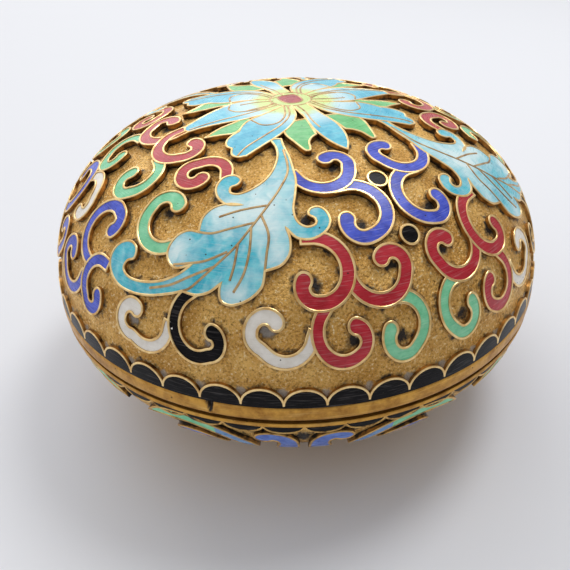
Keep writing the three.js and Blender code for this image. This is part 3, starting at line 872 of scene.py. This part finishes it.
def makeLidBorder():
    band = bmesh.new()
    top = cell["height"] - cell["sunk"]
    pitch = 2 * math.pi / lidBorder["count"]
    start = math.radians(lidBorder["firstCusp"])
    count = lidBorder["rows"]

    def planAt(angle, arc):
        return -arc * math.sin(angle), -arc * math.cos(angle)

    rings = []
    for i in range(lidBorder["count"]):
        line = [(start + pitch * (i + share), arc) for share, arc in archLine(lidBorder)]
        for angle, edge in line[:-1]:
            arcs = [edge + (lidBorder["end"] - edge) * k / count for k in range(count + 1)]
            rings.append(sectionOver([planAt(angle, arc) for arc in arcs], onLid, top))
        addWire(lidWires, [planAt(angle, arc) for angle, arc in line], onLid)
    joinInto(band, sweep(rings, closed=True))
    finishPiece("lidBorderEnamel", band, [pitchBlack], ["lid_border"])


# Base ornament: below a border of hanging scallops, five motifs of paired blue heads with long leaves
baseMotif = {
    "leaf": [
        [(6.3, 7.6), (6.9, 5.4), (8.6, 3.5), (11.0, 2.0), (14.0, 1.0), (17.0, 0.9), (19.6, 1.5), (21.6, 3.2)],
        [(21.6, 3.2), (19.6, 2.7), (17.0, 2.2), (14.2, 2.4), (11.6, 3.4), (9.6, 5.0), (8.5, 7.2), (8.2, 9.6)],
        [(8.2, 9.6), (7.0, 9.0), (6.3, 7.6)],
    ],
    "split": 11.4,  # a leaf is blue up to here and green beyond
    "heads": [
        [
            [(0.75, 9.5), (0.8, 5.0), (1.3, 3.2), (2.6, 2.1), (4.4, 1.8), (5.8, 2.2), (6.3, 3.1), (5.6, 3.9),
             (4.6, 3.9), (4.0, 3.5), (3.3, 4.0), (3.2, 5.2), (3.6, 7.0), (3.2, 9.5)],
            [(3.2, 9.5), (2.0, 10.2), (0.75, 9.5)],
        ],
        [
            [(11.2, 9.6), (11.0, 7.6), (12.2, 5.7), (14.4, 4.6), (16.8, 4.8), (18.0, 6.2), (17.4, 7.8),
             (15.9, 8.0), (15.2, 7.0), (14.0, 6.9), (13.2, 8.2), (13.2, 9.8)],
            [(13.2, 9.8), (12.2, 10.3), (11.2, 9.6)],
        ],
    ],
    "headsSunk": 0.003,  # mm, so that a head and a leaf that touch aren't level
    "eyes": [(0.0, 3.4), (3.9, 6.0), (9.6, 7.6), (14.4, 8.6)],  # where soot and painted shade lie
}


def cutAcross(outline, keep):  # the part of a leaf's outline within the split (keep -1) or beyond it (keep 1)
    part = []
    for here, there in zip(outline, outline[1:] + outline[:1]):
        past, ahead = (abs(point[0]) - baseMotif["split"] for point in (here, there))
        if past * keep >= 0:
            part.append(here)
        if past * ahead < 0:
            part.append(tuple(a + (b - a) * past / (past - ahead) for a, b in zip(here, there)))
    return part


def makeBase():
    blue, sky, green, black = (bmesh.new() for _ in range(4))
    top = cell["height"] - cell["sunk"]
    around = 2 * math.pi * bowlForm["radius"]
    pitch = around / baseBorder["count"]
    rings = []
    for i in range(baseBorder["count"]):
        line = [(pitch * (i + share), depth) for share, depth in archLine(baseBorder)]
        for x, edge in line[:-1]:
            across = [(x, depth) for depth in (baseBorder["start"], edge / 2, edge)]
            rings.append(sectionOver(across, onBowl, top))
        addWire(baseWires, line, onBowl)
    joinInto(black, sweep(rings, closed=True))
    for motif in range(base["motifs"]):
        shift = around / base["motifs"] * motif

        def placeHere(point, height):
            return onBowl((point[0] + shift, point[1]), height)

        for side in (1, -1):
            sides = (side, 1)
            outline = flip(closedOutline(baseMotif["leaf"]), sides)
            addSheet(sky, cutAcross(outline, -1), placeHere, top)
            addSheet(green, cutAcross(outline, 1), placeHere, top)
            addWire(baseWires, outline + outline[:1], placeHere)
            for strokes in baseMotif["heads"]:
                outline = flip(closedOutline(strokes), sides)
                addSheet(blue, outline, placeHere, top - baseMotif["headsSunk"])
                addWire(baseWires, outline + outline[:1], placeHere)
    finishPiece("baseBorderEnamel", black, [pitchBlack])
    finishPiece("baseBlueEnamel", blue, [cornflower])
    finishPiece("baseSkyEnamel", sky, [skyBlue])
    finishPiece("baseGreenEnamel", green, [seaGreen])


# Shells, bands and foot

def searchTree(places):
    tree = kdtree.KDTree(len(places))
    for index, place in enumerate(places):
        tree.insert(place, index)
    tree.balance()
    return tree


def feetOf(wires):  # to show where dirt gathers along them
    return searchTree([vert.co.copy() for vert in wires.verts])


def lidSpots():
    # soot and painted shade lie in the eyes of the curls, and grey flux in the notches of the border and in
    # three pale eyes
    eyes = [scroll["eye"] for members in scrolls.values() for scroll in members] + leaf["eyes"]
    sootyAndShaded = [onLid(place, 0) for sides in quarters.values() for place in flip(eyes, sides)]
    pale = [scrolls[name][0]["eye"] for name in ("white_front", "black", "white_side")]
    chalky = [onLid(place, 0) for sides in quarters.values() for place in flip(pale, sides)]
    pitch = 360 / lidBorder["count"]
    for i in range(lidBorder["count"]):
        across, forward = polar(lidBorder["cusp"] - lidBorder["notch"], lidBorder["firstCusp"] + pitch * i)
        chalky.append(onLid((-forward, -across), 0))
    return searchTree(sootyAndShaded), searchTree(chalky)


def baseSpots():
    pitch = 2 * math.pi * bowlForm["radius"] / baseBorder["count"]
    notches = searchTree([onBowl((pitch * i, baseBorder["notch"]), 0) for i in range(baseBorder["count"])])
    around = 2 * math.pi * bowlForm["radius"] / base["motifs"]
    eyes = [(shift * around + side * x, y) for shift in range(base["motifs"]) for side in (1, -1)
            for x, y in baseMotif["eyes"]]
    return searchTree([onBowl(place, 0) for place in eyes]), notches


# The shells, in mm: points round, rows on the ground and within, the ground's grains by height and by size,
# the fillet at a wire's foot by height and by spread, and the farthest that a mark is measured
shell = {"around": 540, "row": 0.42, "lidInner": 2.0, "baseInner": 1.5, "grain": 0.03, "coarse": 1.2,
         "fine": 0.6, "fineShare": 0.6, "fillet": 0.22, "spread": 0.35, "farthest": 3, "floorRings": 6}
hair = 0.01  # mm, less than which two levels are taken as one
lidSwell = {"height": 0.38, "starts": 26.0, "ends": 34.5}  # the lid's ground comes up towards the border


def swellAt(co):
    x = (math.hypot(co.x, co.y) / mm - lidSwell["starts"]) / (lidSwell["ends"] - lidSwell["starts"])
    x = min(max(x, 0), 1)
    return lidSwell["height"] * x * x * (3 - 2 * x)


def isOuter(vert):  # whether a point looks away from the middle of the box
    return vert.normal.dot(vert.co - Vector((0, 0, seam * mm))) > 0


def finishShell(name, mesh, node, tree, spots, flat, swell=None, grimeAndShade=1):
    # grains over the ground, a fillet of solder and flux up the wires' feet, and enamel within
    mesh.normal_update()
    mesh.verts.ensure_lookup_table()
    outer = [isOuter(vert) and not flat(vert.co) for vert in mesh.verts]
    moves = []
    for vert, away in zip(mesh.verts, outer):
        near = tree.find(vert.co)[2] / mm
        lumps = noise.noise(vert.co * perMm(shell["coarse"]))
        lumps += shell["fineShare"] * noise.noise(vert.co * perMm(shell["fine"]))
        lift = lumps * shell["grain"] + shell["fillet"] * math.exp(-(near / shell["spread"]) ** 2)
        lift += swell(vert.co) if swell else 0
        moves.append(vert.normal * (lift * mm) if away else Vector((0, 0, 0)))
    # distances that place the ground's dirt and painted shade, and its grey flux
    marks = {label: [min(places.find(vert.co)[2] / mm * grimeAndShade, shell["farthest"]) for vert in mesh.verts]
             for label, places in zip(("clear", "sootAndShade", "chalk"), (tree,) + spots)}
    for face in mesh.faces:
        face.material_index = 0 if all(outer[vert.index] for vert in face.verts) else 1
    for vert, move in zip(mesh.verts, moves):
        vert.co += move
    made = finishPiece(name, mesh, [groundGilt, innerBlue], [node])
    for label, values in marks.items():
        made.data.attributes.new(label, "FLOAT", "POINT").data.foreach_set("value", values)


def profileRows(table, start, end, height, row):
    count = max(2, round(abs(end - start) / row))
    return [alongForm(table, start + (end - start) * i / count, height) for i in range(count + 1)]


def arcAtHeight(table, height, level):  # where a profile, at a height off the ground, passes a level
    low, high = 0.0, table["length"]
    rising = alongForm(table, high, height)[1] > alongForm(table, low, height)[1]
    for _ in range(40):
        middle = (low + high) / 2
        if (alongForm(table, middle, height)[1] < level) == rising:
            low = middle
        else:
            high = middle
    return low


def makeLidShell():
    inside = -cell["wall"]
    edge = arcAtHeight(lidTable, 0, bandTop - seam)
    innerEdge = arcAtHeight(lidTable, inside, bandTop - seam)
    profile = profileRows(lidTable, 0, edge, 0, shell["row"])
    profile += profileRows(lidTable, innerEdge, 0, inside, shell["lidInner"])
    profile = [(max(r, 0), seam + z) for r, z in profile]
    profile[0], profile[-1] = (0, profile[0][1]), (0, profile[-1][1])
    finishShell("lidGround", spinProfile(profile, shell["around"]), "lid_shell", feetOf(lidWires), lidSpots(),
                lambda co: co.z / mm < bandTop + hair, swell=swellAt)


def makeBaseShell():
    drop = seam - bowlForm["drop"]
    inside = -cell["wall"]
    top = max(arcAtHeight(bowlTable, base["ground"], drop - baseEdge), 0)
    foot = arcAtHeight(bowlTable, base["ground"], drop - footTop)
    floor = arcAtHeight(bowlTable, inside, drop - footTop - cell["wall"])
    outer = [(r, drop - z) for r, z in profileRows(bowlTable, top, foot, base["ground"], shell["row"])]
    inner = [(r, drop - z) for r, z in profileRows(bowlTable, floor, top, inside, shell["baseInner"])]
    count = shell["floorRings"]
    under = [(outer[-1][0] * k / count, footTop) for k in range(count)]
    within = [(inner[0][0] * k / count, footTop + cell["wall"]) for k in reversed(range(count))]
    profile = under + outer[::-1] + inner[::-1] + within
    finishShell("baseGround", spinProfile(profile, shell["around"]), "base_shell", feetOf(baseWires),
                baseSpots(), lambda co: not footTop + hair < co.z / mm < baseEdge - hair, grimeAndShade=base["grimeAndShade"])


lidHoop = {"width": 2.4, "ease": 0.35, "bulge": 0.02, "edge": 0.12, "flat": 0.8, "around": 1440}
# The hoop's open joint, wide at its top and closed by a bead of solder below: its direction, depth, width low
# and high, its bead, how far in it is cut, how fast its painted shade darkens, and the undarkened strip above
# the bead
joint = {"angle": 227.4, "depth": 0.8, "low": 0.12, "high": 0.6, "bead": 0.3, "stands": 0.12, "behind": 1.5,
         "darkens": 4, "undarkened": 0.1}


def makeLidBand():
    inner, ease, edge = rim - lidHoop["width"], lidHoop["ease"], lidHoop["edge"]
    corner = [(rim - ease * (1 - math.sin(math.radians(a))), seam + ease * (1 - math.cos(math.radians(a))))
              for a in (0, 30, 60, 90)]
    side = [(rim + lidHoop["bulge"], seam + (bandTop - seam) * share) for share in (0.3, 0.45, 0.6, 0.75)]
    upper = [(rim - edge / 4, bandTop - edge), (rim - edge, bandTop), (rim - lidHoop["flat"], bandTop)]
    mesh = spinProfile([(inner, seam)] + corner + side + upper + [(inner, bandTop)], lidHoop["around"])
    middle = math.radians(joint["angle"])
    outward = Vector((math.cos(middle), math.sin(middle), 0))
    along = Vector((-math.sin(middle), math.cos(middle), 0))

    def notchAt(co):  # how deep the joint is at a place, from 0 to 1
        upwards = (co.z / mm - seam) / (bandTop - seam)
        width = joint["low"] + (joint["high"] - joint["low"]) * upwards
        near = co.dot(outward) / mm > rim - joint["behind"]
        return max(0, 1 - abs(co.dot(along)) / mm / width) if near else 0

    for vert in mesh.verts:
        depth = notchAt(vert.co) * joint["depth"]
        beadAway = (vert.co - outward * (rim * mm) - Vector((0, 0, (seam + ease) * mm))).length / mm
        stands = joint["stands"] * max(0, 1 - (beadAway / joint["bead"]) ** 2)
        vert.co += outward * ((stands - (0 if stands else depth)) * mm)
    band = finishPiece("lidBand", mesh, [bandGilt], ["lid_band"])
    undarkened = seam + ease + joint["undarkened"]
    # the joint's notch is darkened with painted shade, except the strip above the bead
    paint(band, "joint", lambda co: min(1, joint["darkens"] * notchAt(co)) * (co.z / mm > undarkened))


# The base's band, with the groove under the lid's hoop and the collar that the lid sits round
baseHoop = {"gap": 0.55, "groove": 1.2, "sill": 0.02, "play": 0.3, "collar": 1.0, "ease": 0.15, "around": 360}


def makeBaseBand():
    collarTop = baseBandHigh.z / mm
    collarOut = rim - lidHoop["width"] - baseHoop["play"]
    collarIn = collarOut - baseHoop["collar"]
    lip, sill = seam - baseHoop["gap"], seam - baseHoop["sill"]
    groove, ease = rim - baseHoop["groove"], baseHoop["ease"]
    profile = [
        (collarIn, baseEdge), (rim - 0.25, baseEdge), (rim - 0.12, baseEdge + 0.1), (rim - 0.1, lip - 0.12),
        (rim - 0.18, lip), (groove, lip), (groove, sill), (collarOut, sill), (collarOut, collarTop - ease),
        (collarOut - ease, collarTop), (collarIn + ease, collarTop), (collarIn, collarTop - ease),
    ]
    mesh = spinProfile(profile, baseHoop["around"])
    band = finishPiece("baseBand", mesh, [bandGilt], ["base_band"])

    def inGroove(co):
        return lip - hair < co.z / mm < seam and collarOut + 0.1 < math.hypot(co.x, co.y) / mm < groove + 0.1

    # the groove under the lid's hoop is darkened with painted shade
    paint(band, "joint", inGroove)


foot = {"width": 1.8, "ease": 0.35, "waist": 0.15, "waistAt": 0.6, "around": 240}


def makeFoot():
    inner, ease = footOuter - foot["width"], foot["ease"]
    profile = [(inner, ease), (inner + ease, 0), (footOuter - ease, 0), (footOuter, ease),
               (footOuter - foot["waist"], footTop * foot["waistAt"]), (footOuter, footTop), (inner, footTop)]
    finishPiece("footRing", spinProfile(profile, foot["around"]), [bandGilt], ["foot_ring"])


makeFlower()
makeLeaves()
print("flower and leaves laid")
makeScrolls()
makeLidBorder()
print("scrolls and border laid")
makeBase()
print("base ornament laid")
makeLidShell()
makeBaseShell()
makeLidBand()
makeBaseBand()
makeFoot()
print("shells, bands and foot turned")


def riseOnLid(co):
    return riseOver(lidForm, math.hypot(co.x, co.y) / mm, co.z / mm - seam)


def riseOnBowl(co):
    return riseOver(bowlForm, math.hypot(co.x, co.y) / mm, seam - bowlForm["drop"] - co.z / mm)


for name, wires, material, riseAt in (("lidWires", lidWires, wireGilt, riseOnLid),
                                      ("lidVeins", veinWires, veinGilt, riseOnLid),
                                      ("baseWires", baseWires, sootyAndShadedGilt, riseOnBowl)):
    paint(finishPiece(name, wires, [material]), "rise", riseAt)
print("wires soldered")

# Stage: a pale table under soft light from above and behind, and the camera
table = {"half": 3, "squares": 8}
lights = {
    "key": {"place": (0.24, 0.05, 0.56), "size": 0.2, "power": 1.15, "target": (0, 0, 0.03)},
    "window": {"place": (0.05, 0.85, 0.65), "size": 0.95, "power": 3.2, "target": (0, 0.1, 0)},
}
camera = {"azimuth": 243.6, "elevation": 32.03, "distance": 2.696, "lens": 37.72, "sensor": 36,
          "nearest": 0.005, "roll": -0.020, "shift": (-0.0194, -0.0602)}  # distance in radii of the box
room = {"towards": (-0.2, 0.77, 0.6), "dimAt": -0.5, "brightAt": 0.8, "dim": 0.25, "bright": 0.92,
        "colour": (0.98, 0.985, 1.0, 1)}


def makeStage():
    sheet = bmesh.new()
    bmesh.ops.create_grid(sheet, x_segments=table["squares"], y_segments=table["squares"], size=table["half"])
    data = bpy.data.meshes.new("table")
    sheet.to_mesh(data)
    sheet.free()
    data.materials.append(paper())
    floor = bpy.data.objects.new("table", data)
    bpy.context.scene.collection.objects.link(floor)


def makeLight(name, place, size, power, target):
    data = bpy.data.lights.new(name, "AREA")
    data.shape = "DISK"
    data.size = size
    data.energy = power
    lamp = bpy.data.objects.new(name, data)
    lamp.location = place
    lamp.rotation_euler = (Vector(target) - Vector(place)).to_track_quat("-Z", "Y").to_euler()
    bpy.context.scene.collection.objects.link(lamp)


def makeCamera():
    data = bpy.data.cameras.new("camera")
    data.lens = camera["lens"]
    data.sensor_width = camera["sensor"]
    data.shift_x, data.shift_y = camera["shift"]
    data.clip_start = camera["nearest"]
    eye = bpy.data.objects.new("camera", data)
    turn, lift = math.radians(camera["azimuth"]), math.radians(camera["elevation"])
    target = Vector((0, 0, seam * mm))
    away = Vector((math.cos(turn) * math.cos(lift), math.sin(turn) * math.cos(lift), math.sin(lift)))
    eye.location = target + away * (camera["distance"] * rim * mm)
    eye.rotation_euler = (target - eye.location).to_track_quat("-Z", "Y").to_euler()
    eye.rotation_euler.rotate_axis("Z", camera["roll"])
    bpy.context.scene.collection.objects.link(eye)
    bpy.context.scene.camera = eye


def makeWorld():
    # a room that is bright behind and above the box and dim on the camera's side
    world = bpy.data.worlds.new("pale room")
    world.use_nodes = True
    tree = world.node_tree
    direction = addNode(tree, "TexCoord", {}, "Generated")
    aim = {"operation": "DOT_PRODUCT", 0: direction, 1: room["towards"]}
    facing = addNode(tree, "VectorMath", aim, "Value")
    strength = addNode(tree, "MapRange", {0: facing, 1: room["dimAt"], 2: room["brightAt"], 3: room["dim"],
                                          4: room["bright"]})
    background = tree.nodes["Background"]
    background.inputs["Color"].default_value = room["colour"]
    tree.links.new(strength, background.inputs["Strength"])
    bpy.context.scene.world = world


makeStage()
makeCamera()
makeWorld()
for name, light in lights.items():
    makeLight(name, **light)
bpy.context.scene.view_settings.view_transform = "Standard"
print("stage set")
